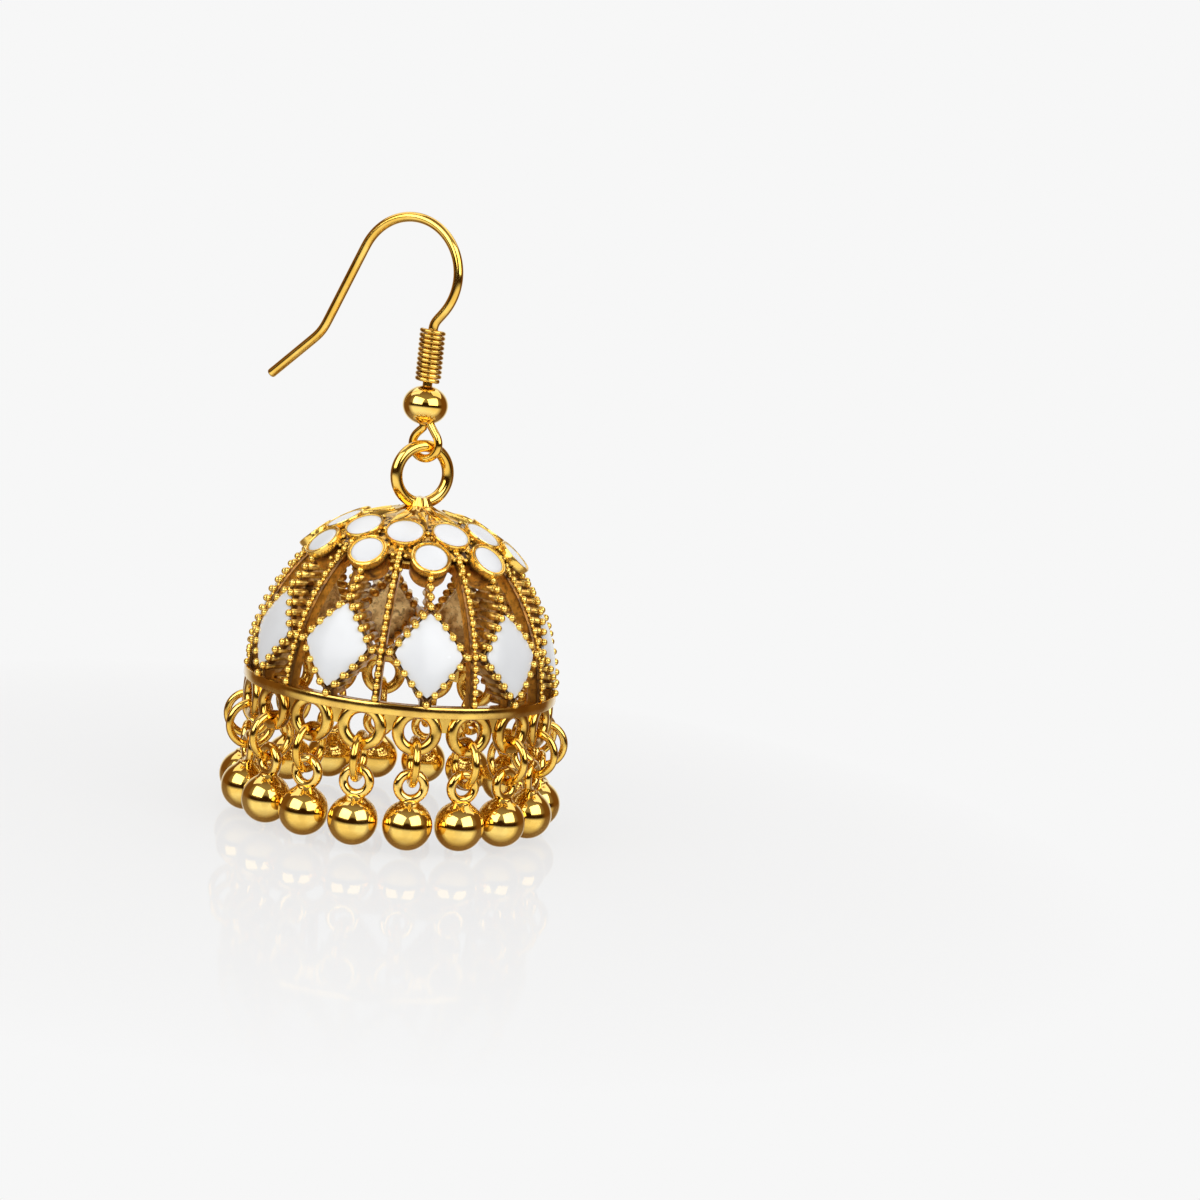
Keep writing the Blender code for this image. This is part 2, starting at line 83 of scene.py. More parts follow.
class Field:
    """One output of a node tree, which sums, products and further nodes build on."""

    def __init__(self, tree, socket=None):
        self.tree = tree
        self.socket = socket

    def node(self, kind, settings=None, values=None, output=0):
        made = self.tree.nodes.new(kind)
        for name, value in (settings or {}).items():
            if name == "stops":
                for position, shade in value[2:]:
                    made.color_ramp.elements.new(position)
                for stop, (position, shade) in zip(made.color_ramp.elements, value):
                    stop.position = position
                    stop.color = (*shade, 1.0)
            else:
                setattr(made, name, value)
        for name, value in (values or {}).items():
            if isinstance(value, Field):
                self.tree.links.new(value.socket, made.inputs[name])
            else:
                made.inputs[name].default_value = value
        return Field(self.tree, made.outputs[output])

    def maths(self, operation, first, second):
        return self.node("ShaderNodeMath", {"operation": operation}, {0: first, 1: second})

    def __add__(self, other):
        return self.maths("ADD", self, other)

    def __sub__(self, other):
        return self.maths("SUBTRACT", self, other)

    def __rsub__(self, other):
        return self.maths("SUBTRACT", other, self)

    def __mul__(self, other):
        return self.maths("MULTIPLY", self, other)

    __radd__ = __add__
    __rmul__ = __mul__

    def rise(self, low, high):
        """0 at low and before it, 1 at high and beyond it."""
        return self.node("ShaderNodeMapRange", {}, {"Value": self, "From Min": low, "From Max": high})

    def mix(self, first, second):
        """The first colour where this is 0, the second where it is 1."""
        first, second = (shade if isinstance(shade, Field) else (*shade, 1.0) for shade in (first, second))
        return self.node("ShaderNodeMix", {"data_type": "RGBA"}, {"Factor": self, 6: first, 7: second}, 2)

    def spot(self):
        """The place on the object, in metres."""
        return self.node("ShaderNodeTexCoord", output=3)

    def vector(self, operation, other):
        return self.node("ShaderNodeVectorMath", {"operation": operation}, {0: self, 1: other})

    def length(self):
        return self.node("ShaderNodeVectorMath", {"operation": "LENGTH"}, {0: self}, 1)

    def height(self):
        return self.node("ShaderNodeSeparateXYZ", {}, {0: self}, 2)

    def noise(self, scale, detail=2.0):
        """A cloudy noise over this place, about 0.5 on average."""
        return self.node("ShaderNodeTexNoise", {}, {"Vector": self, "Scale": scale, "Detail": detail})

    def bump(self, strength, distance):
        return self.node("ShaderNodeBump", {}, {"Height": self, "Strength": strength, "Distance": distance})


def material(name, **uniform):
    """A Principled material with its uniform values set, and a field to grow its nodes from."""
    made = bpy.data.materials.new(name)
    made.use_nodes = True
    shader = made.node_tree.nodes["Principled BSDF"]
    for label, value in uniform.items():
        shader.inputs[label.replace("_", " ")].default_value = value
    return made, Field(made.node_tree), shader


def feed(shader, **fields):
    """Links fields to a shader's sockets."""
    for label, value in fields.items():
        value.tree.links.new(value.socket, shader.inputs[label.replace("_", " ")])


def place(name, mesh, finish):
    """A finished piece, with its place in its mesh."""
    made = bpy.data.objects.new(name, mesh)
    scene.collection.objects.link(made)
    mesh.materials.clear()
    mesh.materials.append(finish)
    return made


floor_finish, grow, shader = material("pale_floor", Base_Color=FLOOR_WHITE, Specular_IOR_Level=0.6)
spot = grow.spot()
feed(shader, Alpha=FLOOR_COVER - spot.length().rise(FADE_START, FADE_END) * FLOOR_COVER,
     Roughness=spot.noise(12.0) * 0.03 + 0.03)
bm = bmesh.new()
bmesh.ops.create_circle(bm, cap_ends=True, segments=96, radius=FLOOR_RADIUS,
                        matrix=Matrix.Translation((LIT_POINT.x, 0.0, FLOOR_HEIGHT)))
floor = bpy.data.meshes.new("floor")
bm.to_mesh(floor)
bm.free()
place("floor", floor, floor_finish)

for number, (turn, lift, width, height, glow) in enumerate(SOFTBOXES):
    lamp = bpy.data.lights.new(f"softbox_{number}", "AREA")
    lamp.shape = "RECTANGLE"
    lamp.size = width
    lamp.size_y = height
    lamp.energy = glow * math.pi * width * height
    holder = bpy.data.objects.new(lamp.name, lamp)
    scene.collection.objects.link(holder)
    turn, lift = math.radians(turn), math.radians(lift)
    towards = Vector((math.sin(turn) * math.cos(lift), -math.cos(turn) * math.cos(lift), math.sin(lift)))
    holder.location = LIT_POINT + towards * SOFTBOX_DISTANCE
    holder.rotation_euler = towards.to_track_quat("Z", "Y").to_euler()
    holder.visible_camera = False

room = bpy.data.worlds.new("studio")
room.use_nodes = True
scene.world = room
grow = Field(room.node_tree)
direction = grow.node("ShaderNodeTexCoord")
height = direction.height()
lit = grow.node("ShaderNodeValToRGB", {"stops": FLOOR_TO_CEILING}, {"Fac": height * 0.5 + 0.5})
front = Vector((math.sin(FRONT_TURN), -math.cos(FRONT_TURN), 0.0))
ahead = grow.node("ShaderNodeVectorMath", {"operation": "DOT_PRODUCT"}, {0: direction, 1: front}, 1)
gap = ahead.rise(0.89, 0.945) * height.rise(-0.1, -0.05)
lit = gap.mix(lit, DUSK)
lit = ahead.rise(0.35, -0.1).mix(lit, AMBER)
lit = ahead.rise(-0.7, -0.9).mix(lit, ROOM_WHITE)
scattered = grow.node("ShaderNodeLightPath", output=2)
lit = scattered.mix(lit, ROOM_FILL)
straight = grow.node("ShaderNodeLightPath")
lit = straight.mix(lit, ROOM_WHITE)
room.node_tree.links.new(lit.socket, room.node_tree.nodes["Background"].inputs["Color"])

# Ear wire. Hard gold-plated wire, bent over a former and left free at its tail; its lower end is drawn a
# little thinner and turned into the loop that carries the bell. The plating is bright, with a fine haze.
WIRE_RADIUS = 0.44 * MM
WIRE_SIDES = 20
WIRE_STEP = 0.2 * MM
LOOP_THINNING = 0.86
THINNED_BELOW = -16.0 * MM
ARCH_CENTRE = Vector((0, 0, -4.575)) * MM
ARCH_RADIUS = 4.95 * MM
ARCH_END_TURN = -42
SHAFT_X = 3.0 * MM
TAIL_BEND = Vector((-8.15, 0, -10.6)) * MM
TAIL_TIP = Vector((-13.1, 0, -15.0)) * MM
TIP_ROUNDING = ((0.0, 0.72), (0.08, 0.88), (0.25, 0.98))
LOOP_CENTRE = Vector((3.4, 0, -19.28)) * MM
LOOP_RADIUS = 1.3 * MM
LOOP_NECK = Vector((3.0, 0, -17.88)) * MM
LOOP_END = LOOP_NECK + Vector((0.66, 0.0, 0.4)) * MM
HAZE_SCALE = 420.0
SHARP_FROM = math.radians(35)


def shaped(name, bm):
    """A mesh from closed shells, faces outwards, smooth but for its edges."""
    bmesh.ops.recalc_face_normals(bm, faces=bm.faces)
    mesh = bpy.data.meshes.new(name)
    bm.to_mesh(mesh)
    bm.free()
    mesh.shade_smooth()
    mesh.set_sharp_from_angle(angle=SHARP_FROM)
    return mesh


def round_run(centre, radius, start, end, steps):
    """Points of an arc in the ear wire's plane, in degrees from +X towards +Z."""
    turns = [math.radians(start + (end - start) * i / steps) for i in range(steps + 1)]
    return [centre + radius * Vector((math.cos(turn), 0.0, math.sin(turn))) for turn in turns]


def touch(centre, radius, point, side):
    """The angle at which a straight run from a point touches a circle."""
    away = point - centre
    return math.degrees(math.atan2(away.z, away.x) + side * math.acos(radius / away.length))


def eased(points, passes):
    """The points with their corners worn round, the ends kept."""
    for _ in range(passes):
        inner = [(a + b + b + c) / 4 for a, b, c in zip(points, points[1:], points[2:])]
        points = [points[0], *inner, points[-1]]
    return points


def even(points, pitch):
    """Points at an even pitch along a line of points."""
    lengths = [0.0]
    for a, b in zip(points, points[1:]):
        lengths.append(lengths[-1] + (b - a).length)
    count = max(1, round(lengths[-1] / pitch))
    spaced = []
    k = 0
    for i in range(count + 1):
        goal = lengths[-1] * i / count
        while k < len(points) - 2 and lengths[k + 1] < goal:
            k += 1
        share = (goal - lengths[k]) / (lengths[k + 1] - lengths[k])
        spaced.append(points[k].lerp(points[k + 1], share))
    return spaced


def sweep(bm, frames, section):
    """A closed bar: (across, outwards) points carried along frames of (centre, across, outwards)."""
    rings = []
    for centre, across, outwards in frames:
        rings.append([bm.verts.new(centre + across * a + outwards * o) for a, o in section])
    for ring, following in zip(rings, rings[1:]):
        for k in range(len(section)):
            j = (k + 1) % len(section)
            bm.faces.new((ring[k], ring[j], following[j], following[k]))
    bm.faces.new(rings[0])
    bm.faces.new(rings[-1])


def gold(name, bright, deep, roughness, grain, scratch=0.02):
    """Polished gold plating: a warm tone that drifts a little, a faint haze and fine handling marks."""
    made, grow, shader = material(name, Metallic=1.0, Coat_Weight=0.3, Coat_Roughness=0.04)
    haze = grow.spot().noise(HAZE_SCALE, 3.0)
    marks = grow.spot().noise(grain, 4.0)
    feed(shader, Base_Color=haze.rise(0.42, 0.62).mix(deep, bright), Roughness=haze * 0.1 + roughness,
         Normal=marks.bump(scratch, 0.05 * MM))
    return made


wire_gold = gold("bright_wire", (0.92, 0.64, 0.15), (0.80, 0.50, 0.08), 0.06, 2600.0)

tail_turn = touch(ARCH_CENTRE, ARCH_RADIUS, TAIL_BEND, -1) % 360
arch_start = round_run(ARCH_CENTRE, ARCH_RADIUS, tail_turn, tail_turn, 1)[0]
line = eased(even([TAIL_TIP, TAIL_BEND, arch_start], 0.25 * MM), 8)
arch = round_run(ARCH_CENTRE, ARCH_RADIUS, tail_turn - 2, ARCH_END_TURN, 60)
heading = (arch[-1] - arch[-2]).normalized()
bend = arch[-1] + heading * (SHAFT_X - arch[-1].x) / heading.x
line = eased(even(line + arch + [bend, LOOP_NECK], WIRE_STEP), 6)
loop_turn = touch(LOOP_CENTRE, LOOP_RADIUS, LOOP_NECK, 1)
loop = round_run(LOOP_CENTRE, LOOP_RADIUS, loop_turn, loop_turn + 360 - 2 * (loop_turn - 90), 48)
line += eased(even([LOOP_NECK, *loop, LOOP_END], WIRE_STEP), 2)[1:]
frames = []
for before, centre, after in zip(line[:1] + line, line, line[1:] + line[-1:]):
    along = (after - before).normalized()
    sideways = Vector((0.0, LOOP_THINNING if centre.z < THINNED_BELOW else 1.0, 0.0))
    frames.append((centre, sideways, along.cross(sideways)))
tip_centre, across, outwards = frames[0]
inward = (line[1] - line[0]).normalized()
tip = [(tip_centre + inward * step * WIRE_RADIUS, across * size, outwards * size)
       for step, size in TIP_ROUNDING]
turns = [2 * math.pi * k / WIRE_SIDES for k in range(WIRE_SIDES)]
section = [(WIRE_RADIUS * math.cos(turn), WIRE_RADIUS * math.sin(turn)) for turn in turns]
bm = bmesh.new()
sweep(bm, tip + frames[1:], section)
ear_wire = place("ear_wire_bright", shaped("ear_wire_bright", bm), wire_gold)
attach(ear_wire, "ear_hook")
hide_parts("ear_wire")

# Coil. Fine gold wire wound tight round the shaft, about ten and a half turns that are cut square at
# their ends.
COIL_TOP = -9.1 * MM
COIL_WIRE = 0.2 * MM
COIL_RADIUS = 0.98 * MM
COIL_LENGTH = 4.8 * MM
COIL_TURNS = 10.4


def pattern(name, sizes, takes_mesh=True):
    """A node tree with a named input for each size, and the fields of those inputs."""
    tree = bpy.data.node_groups.new(name, "GeometryNodeTree")
    tree.interface.new_socket("Geometry", in_out="OUTPUT", socket_type="NodeSocketGeometry")
    if takes_mesh:
        tree.interface.new_socket("Geometry", in_out="INPUT", socket_type="NodeSocketGeometry")
    for label, value in sizes.items():
        kind = "NodeSocketInt" if isinstance(value, int) else "NodeSocketFloat"
        tree.interface.new_socket(label, in_out="INPUT", socket_type=kind)
    tree.interface.new_socket("Finish", in_out="INPUT", socket_type="NodeSocketMaterial")
    entry = tree.nodes.new("NodeGroupInput")
    return Field(tree), {socket.name: Field(tree, socket) for socket in entry.outputs if socket.name}


def close(grow, shapes, finish):
    """Ends a node tree: real geometry, smooth, with its finish."""
    real = grow.node("GeometryNodeRealizeInstances", {}, {0: shapes})
    dressed = grow.node("GeometryNodeSetMaterial", {}, {"Geometry": real, "Material": finish})
    grow.tree.links.new(dressed.socket, grow.tree.nodes.new("NodeGroupOutput").inputs[0])
    return grow.tree


def grown(name, mesh, finish, *steps):
    """A plain piece made from a mesh by node trees, each given with its sizes."""
    source = bpy.data.objects.new(name, mesh)
    scene.collection.objects.link(source)
    for tree, sizes in steps:
        modifier = source.modifiers.new(tree.name, "NODES")
        modifier.node_group = tree
        for item in tree.interface.items_tree:
            if item.in_out == "INPUT" and item.name in sizes:
                modifier[item.identifier] = sizes[item.name]
            elif item.name == "Finish":
                modifier[item.identifier] = finish
    graph = bpy.context.evaluated_depsgraph_get()
    plain = bpy.data.meshes.new_from_object(source.evaluated_get(graph), depsgraph=graph)
    bpy.data.objects.remove(source)
    plain.name = name
    return place(name, plain, finish)


sizes = {"Turns": COIL_TURNS, "Radius": COIL_RADIUS, "Length": COIL_LENGTH, "Wire": COIL_WIRE,
         "Shaft": SHAFT_X, "Top": COIL_TOP}
grow, size = pattern("wound_coil", sizes, False)
spiral = grow.node("GeometryNodeCurveSpiral", {}, {
    "Resolution": 28, "Rotations": size["Turns"], "Start Radius": size["Radius"],
    "End Radius": size["Radius"], "Height": size["Length"] - 2 * size["Wire"]})
section = grow.node("GeometryNodeCurvePrimitiveCircle", {}, {"Resolution": 8, "Radius": size["Wire"]})
tube = grow.node("GeometryNodeCurveToMesh", {}, {
    "Curve": spiral, "Profile Curve": section, "Fill Caps": True})
spot = grow.node("ShaderNodeCombineXYZ", {}, {
    "X": size["Shaft"], "Z": size["Top"] - size["Length"] + size["Wire"]})
hung = grow.node("GeometryNodeTransform", {}, {"Geometry": tube, "Translation": spot})
smooth = grow.node("GeometryNodeSetShadeSmooth", {}, {"Geometry": hung})
coil_gold = gold("wound_wire", (0.93, 0.64, 0.15), (0.58, 0.35, 0.06), 0.12, 2600.0)
coil = grown("coil_wound", bpy.data.meshes.new("coil_start"), coil_gold,
             (close(grow, smooth, size["Finish"]), sizes))
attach(coil, "ear_hook")
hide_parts("wire_coil")

# Bead. A hollow pressed bead threaded on the shaft under the coil, polished bright, with a small edge
# turned in round each end of its bore.
BEAD_RADIUS = 2.0 * MM
BEAD_STEPS = 32
BEAD_EDGE = 0.02 * MM
EDGE_DEPTH = 0.86
BEAD_HALF = 1.75 * MM
BEAD_BORE = 0.46 * MM
BEAD_CENTRE = Vector((3.0, 0, -15.88)) * MM


def turned(bm, profile, sides, seat, closed=False):
    """A turned shape: a profile of (reach, height) points carried round the seat's Z axis."""
    rings = []
    for reach, height in profile:
        if reach == 0.0:
            rings.append([bm.verts.new(seat @ Vector((0.0, 0.0, height)))])
            continue
        turns = [2 * math.pi * k / sides for k in range(sides)]
        rings.append([bm.verts.new(seat @ Vector((reach * math.cos(turn), reach * math.sin(turn), height)))
                      for turn in turns])
    following_rings = rings[1:] + (rings[:1] if closed else [])
    for ring, following in zip(rings, following_rings):
        for k in range(sides):
            j = (k + 1) % sides
            corners = [ring[k % len(ring)], ring[j % len(ring)],
                       following[j % len(following)], following[k % len(following)]]
            bm.faces.new(list(dict.fromkeys(corners)))


bead_start = math.acos(BEAD_BORE / BEAD_RADIUS)
profile = [(BEAD_BORE, BEAD_HALF * EDGE_DEPTH)]
for i in range(BEAD_STEPS + 1):
    lift = bead_start * (1 - 2 * i / BEAD_STEPS)
    profile.append((BEAD_RADIUS * math.cos(lift) + BEAD_EDGE, BEAD_HALF * math.sin(lift)))
profile.append((BEAD_BORE, -BEAD_HALF * EDGE_DEPTH))
bm = bmesh.new()
turned(bm, profile, 48, Matrix.Translation(BEAD_CENTRE), True)
ball_gold = gold("polished_bead", (0.94, 0.68, 0.19), (0.88, 0.58, 0.12), 0.03, 1500.0, 0.015)
bead = place("hook_bead_polished", shaped("hook_bead_polished", bm), ball_gold)
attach(bead, "ear_hook")
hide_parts("hook_bead")

# Bell openwork. One casting: ten lozenge frames and the ribs between them, bowed as half an ellipsoid on
# a plain band, with deep walls that face each other across the windows. The plating is rubbed bright on
# the outer edges and left brown and dull in the depth of the walls and inside. A dark band is painted just
# under the outer edges, partly patina and partly painted shade, and the sunk walls are painted darker
# towards the bottom of the bell.
BELL_SEAT = Vector((3.4, 0, -41.205)) * MM
BELL_TURN = math.radians(55)
DOME_RADIUS = 13.7 * MM
DOME_HEIGHT = 15.8 * MM
TO_UNIT_DOME = Vector((1 / DOME_RADIUS, 1 / DOME_RADIUS, 1 / DOME_HEIGHT))
PANELS = 10
HALF_PANEL = math.pi / PANELS
LOZENGE_FOOT = 1.15 * MM
LOZENGE_MIDDLE = 5.2 * MM
LOZENGE_TOP = 9.1 * MM
CORNER_TO_RIB = 0.74 * MM
BORDER_WIDTH = 0.28 * MM
RIB_WIDTH = 0.62 * MM
FOOT_WIDTH = 1.0 * MM
TIE_WIDTH = 0.7 * MM
WALL_DEPTH = 1.7 * MM
RIB_DEPTH = 1.2 * MM
RIB_TOP = 13.3 * MM
BAR_CROWN = 0.04 * MM
BAR_SHOULDER = 0.14 * MM
PLATE_BACK = -0.9 * MM
PLATE_FACE = -0.12 * MM
PLATE_COLUMNS = 8
BAND_HEIGHT = 1.0 * MM
RUBBED = (0.93, 0.64, 0.14)
INSIDE = (1.0, 0.72, 0.31)
ORANGE_WALL = (1.0, 0.5, 0.07)
DULL_WALL = (0.36, 0.16, 0.025)
WORN_WALL = (0.36, 0.15, 0.02)
STAIN = (0.14, 0.07, 0.02)
# Dark brown of the hollows, partly patina and partly painted shade.
PATINA_AND_SHADE = (0.08, 0.035, 0.008)


def dome_radius(height, proud=0.0):
    """The dome's radius at a height over the band's lower edge."""
    share = min(1.0, height / (DOME_HEIGHT + proud))
    return (DOME_RADIUS + proud) * math.sqrt(1.0 - share * share)


def on_dome(across, height, proud=0.0, middle=0.0):
    """A point on the dome, at a distance across from a panel's middle line."""
    turn = middle + across / dome_radius(height)
    reach = dome_radius(height, proud)
    return Vector((reach * math.cos(turn), reach * math.sin(turn), height))


def off_dome(point):
    """The direction that faces out of the dome at a point."""
    flat = DOME_RADIUS**2
    return Vector((point.x / flat, point.y / flat, point.z / DOME_HEIGHT**2)).normalized()


def bar(bm, points, width, depth):
    """A deep bar along the dome, rounded on its outer edges and thinner inside."""
    half = width / 2
    section = [(-half, -BAR_SHOULDER), (-half * 0.62, 0.0), (0.0, BAR_CROWN), (half * 0.62, 0.0),
               (half, -BAR_SHOULDER), (half * 0.9, -depth * 0.9), (half * 0.5, -depth),
               (-half * 0.5, -depth), (-half * 0.9, -depth * 0.9)]
    frames = []
    for before, centre, after in zip(points[:1] + points, points, points[1:] + points[-1:]):
        outwards = off_dome(centre)
        frames.append((centre, outwards.cross((after - before).normalized()).normalized(), outwards))
    sweep(bm, frames, section)


def line_on_dome(start, end, steps=12, middle=0.0):
    """Points of a line on the dome between two places, each a distance across and a height."""
    return [on_dome(start[0] + (end[0] - start[0]) * i / steps,
                    start[1] + (end[1] - start[1]) * i / steps, 0.0, middle) for i in range(steps + 1)]


corner = dome_radius(LOZENGE_MIDDLE) * HALF_PANEL - CORNER_TO_RIB
rib_line = line_on_dome((0.0, BAND_HEIGHT * 0.7), (0.0, RIB_TOP), 28, HALF_PANEL)
stalk_line = line_on_dome((0.0, LOZENGE_TOP), (0.0, RIB_TOP), 8)
foot_line = line_on_dome((0.0, BAND_HEIGHT * 0.5), (0.0, LOZENGE_FOOT + 0.4 * MM), 3)
borders = []
for side in (-1, 1):
    borders.append(line_on_dome((0.0, LOZENGE_FOOT), (side * corner, LOZENGE_MIDDLE)))
    borders.append(line_on_dome((side * corner, LOZENGE_MIDDLE), (0.0, LOZENGE_TOP)))

bm = bmesh.new()
bar(bm, rib_line, RIB_WIDTH, RIB_DEPTH)
bar(bm, foot_line, FOOT_WIDTH, RIB_DEPTH)
for side in (-1, 1):
    tie_start = (side * (corner - 0.1 * MM), LOZENGE_MIDDLE)
    tie_end = (side * (corner + CORNER_TO_RIB), LOZENGE_MIDDLE)
    bar(bm, line_on_dome(tie_start, tie_end, 2), TIE_WIDTH, RIB_DEPTH)
ribs_panel = shaped("ribs_panel", bm)


def lozenge(bm, margin, low, high, crown, steps=10, fullness=1.0):
    """A lozenge plate between two distances out of the dome, its outer face bowed by a crown."""
    shells = []
    for level, bow in ((high, crown), (low, 0.0)):
        rows = []
        for i in range(steps + 1):
            share = -1.0 + 2.0 * i / steps
            half = LOZENGE_TOP - LOZENGE_MIDDLE if share > 0 else LOZENGE_MIDDLE - LOZENGE_FOOT
            height = LOZENGE_MIDDLE + share * half * margin
            span = corner * margin * (1.0 - abs(share) ** fullness) ** (1.0 / fullness)
            columns = [2 * k / PLATE_COLUMNS - 1.0 for k in range(PLATE_COLUMNS + 1)]
            if i in (0, steps):
                columns = [0.0]
            rows.append([bm.verts.new(on_dome(
                column * span, height,
                level + bow * (1 - abs(column) ** 3) * (1 - abs(share) ** 3))) for column in columns])
        for lower, upper in zip(rows, rows[1:]):
            for k in range(PLATE_COLUMNS):
                corners = [lower[min(k, len(lower) - 1)], lower[min(k + 1, len(lower) - 1)],
                           upper[min(k + 1, len(upper) - 1)], upper[min(k, len(upper) - 1)]]
                bm.faces.new(list(dict.fromkeys(corners)))
        shells.append(rows)
    for rim in (0, -1):
        edge = [[row[rim] for row in rows] for rows in shells]
        for k in range(steps):
            bm.faces.new((edge[0][k], edge[0][k + 1], edge[1][k + 1], edge[1][k]))


bm = bmesh.new()
lozenge(bm, 0.98, PLATE_BACK, PLATE_FACE, 0.0)
bar(bm, stalk_line, BORDER_WIDTH, WALL_DEPTH)
for points in borders:
    bar(bm, points, BORDER_WIDTH, WALL_DEPTH)
frames_panel = shaped("frames_panel", bm)

ring_sizes = {"Copies": PANELS, "First turn": BELL_TURN, "Axis": BELL_SEAT.x, "Base": BELL_SEAT.z}
grow, size = pattern("ring_of_copies", ring_sizes)
seat = grow.node("ShaderNodeCombineXYZ", {}, {"X": size["Axis"], "Z": size["Base"]})
points = grow.node("GeometryNodePoints", {}, {"Count": size["Copies"], "Position": seat})
step = grow.maths("DIVIDE", 2 * math.pi, size["Copies"])
turn = grow.node("GeometryNodeInputIndex") * step + size["First turn"]
facing = grow.node("ShaderNodeCombineXYZ", {}, {"Z": turn})
ring = grow.node("GeometryNodeInstanceOnPoints", {}, {
    "Points": points, "Instance": size["Geometry"],
    "Rotation": grow.node("FunctionNodeEulerToRotation", {}, {0: facing})})
ring_of_copies = close(grow, ring, size["Finish"])


def bell_gold(name, shades, lift=0.0, metal=0.1):
    """Antiqued gold plating, its shades set by depth, from the inside over the walls to the outer edges."""
    made, grow, shader = material(name, Coat_Weight=0.15, Coat_Roughness=0.08)
    spot = grow.spot()
    centred = spot.vector("SUBTRACT", BELL_SEAT)
    cloud = spot.noise(650.0, 4.0)
    patch = spot.noise(1700.0, 3.0)
    fine = spot.noise(3200.0, 4.0)
    reach = centred.vector("MULTIPLY", TO_UNIT_DOME).length()
    level = (reach + cloud * 0.03 - 0.015 - lift).rise(0.85, 1.05)
    proud = level.rise(0.74, 0.86)
    sunk = 1 - proud
    # The ramp paints a dark band just under the outer edges, between and under the granules: partly patina,
    # partly painted shade.
    tone = grow.node("ShaderNodeValToRGB", {"stops": shades}, {"Fac": level})
    tone = ((1 - cloud.rise(0.4, 0.56)) * sunk * 0.4).mix(tone, DULL_WALL)
    tone = (cloud.rise(0.60, 0.68) * sunk).mix(tone, STAIN)
    tone = (patch.rise(0.46, 0.62) * sunk * 0.6).mix(tone, WORN_WALL)
    tone = (fine.rise(0.54, 0.66) * sunk * 0.5).mix(tone, PATINA_AND_SHADE)
    # Sunk walls in the lowest few millimetres of the bell are painted darker towards the bottom.
    low = (centred.height() + cloud * 2 * MM).rise(5.0 * MM, 3.0 * MM)
    tone = (low * sunk * level.rise(0.2, 0.5) * 0.6).mix(tone, PATINA_AND_SHADE)
    feed(shader, Base_Color=tone, Metallic=level.rise(0.1, 0.8) * (0.9 - metal) + metal,
         Roughness=0.26 - proud * 0.16 + cloud * 0.08,
         Normal=(cloud + patch + fine * 0.4).bump(0.4, 0.1 * MM))
    return made


# The dark stops of these ramps paint that band of patina and painted shade under the outer edges.
rib_gold = bell_gold("antiqued_ribs", [(0.0, INSIDE), (0.15, ORANGE_WALL), (0.62, ORANGE_WALL),
                                       (0.7, PATINA_AND_SHADE), (0.76, PATINA_AND_SHADE), (0.86, RUBBED)])
frame_gold = bell_gold("antiqued_frames", [(0.0, INSIDE), (0.5, INSIDE), (0.58, PATINA_AND_SHADE),
                                           (0.76, PATINA_AND_SHADE), (0.86, RUBBED)])
openwork = grown("bell_openwork", ribs_panel, rib_gold, (ring_of_copies, ring_sizes))
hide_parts("bell")
lozenge_frames = grown("lozenge_frames", frames_panel, frame_gold, (ring_of_copies, ring_sizes))
for piece in (openwork, lozenge_frames):
    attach(piece, "bell_drop")

# Band and cap. The band is a plain turned ring that closes the mouth. The cap is the closed top of the
# same casting, and the ribs run into its edge between the cups. Dark pits are left in the cap's gold
# between the settings, where nothing rubs it.
BAND_RADIUS = 14.0 * MM
BAND_INNER = 11.85 * MM
BAND_EDGE = 0.16 * MM
CAP_EDGE = 12.9 * MM
CAP_RAISE = 0.3 * MM
CAP_THICKNESS = 1.2 * MM
CAP_STEPS = 18
CRUST_REACH = (3.9 * MM, 4.5 * MM)
CRUST_HEIGHT = (6 * MM, 7 * MM)

profile = [(BAND_RADIUS - BAND_EDGE, 0.0), (BAND_RADIUS - BAND_EDGE * 0.3, BAND_EDGE * 0.3),
           (BAND_RADIUS, BAND_EDGE), (BAND_RADIUS, BAND_HEIGHT - BAND_EDGE),
           (BAND_RADIUS - BAND_EDGE * 0.3, BAND_HEIGHT - BAND_EDGE * 0.3),
           (BAND_RADIUS - BAND_EDGE, BAND_HEIGHT), (BAND_RADIUS - 0.6 * MM, BAND_HEIGHT * 0.96),
           (BAND_INNER + 0.2 * MM, BAND_HEIGHT * 0.8), (BAND_INNER, BAND_HEIGHT * 0.6),
           (BAND_INNER, BAND_EDGE), (BAND_INNER + BAND_EDGE, 0.0)]
bm = bmesh.new()
bell_place = Matrix.Translation(BELL_SEAT) @ Matrix.Rotation(BELL_TURN, 4, "Z")
turned(bm, profile, 180, bell_place, True)
cap_top = DOME_HEIGHT + CAP_RAISE
edge_lift = math.asin(CAP_EDGE / cap_top)
ceiling = DOME_HEIGHT - CAP_THICKNESS
outer = []
inner = []
for i in range(CAP_STEPS + 1):
    lift = edge_lift + (math.pi / 2 - edge_lift) * i / CAP_STEPS
    outer.append(((DOME_RADIUS + CAP_RAISE) * math.cos(lift), cap_top * math.sin(lift)))
    inner.append(((DOME_RADIUS - CAP_THICKNESS) * math.cos(lift), ceiling * math.sin(lift)))
outer[-1] = (0.0, cap_top)
inner[-1] = (0.0, ceiling)
lip = [(outer[0][0] - 0.15 * MM, outer[0][1] - 0.2 * MM), (inner[0][0] + 0.15 * MM, inner[0][1] - 0.1 * MM)]
turned(bm, outer[::-1] + lip + inner, 120, bell_place)
band_gold, grow, shader = material("band_gold", Metallic=1.0, Coat_Weight=0.3, Coat_Roughness=0.05)
spot = grow.spot()
centred = spot.vector("SUBTRACT", BELL_SEAT)
haze = spot.noise(HAZE_SCALE, 3.0)
fine = spot.noise(1500.0, 4.0)
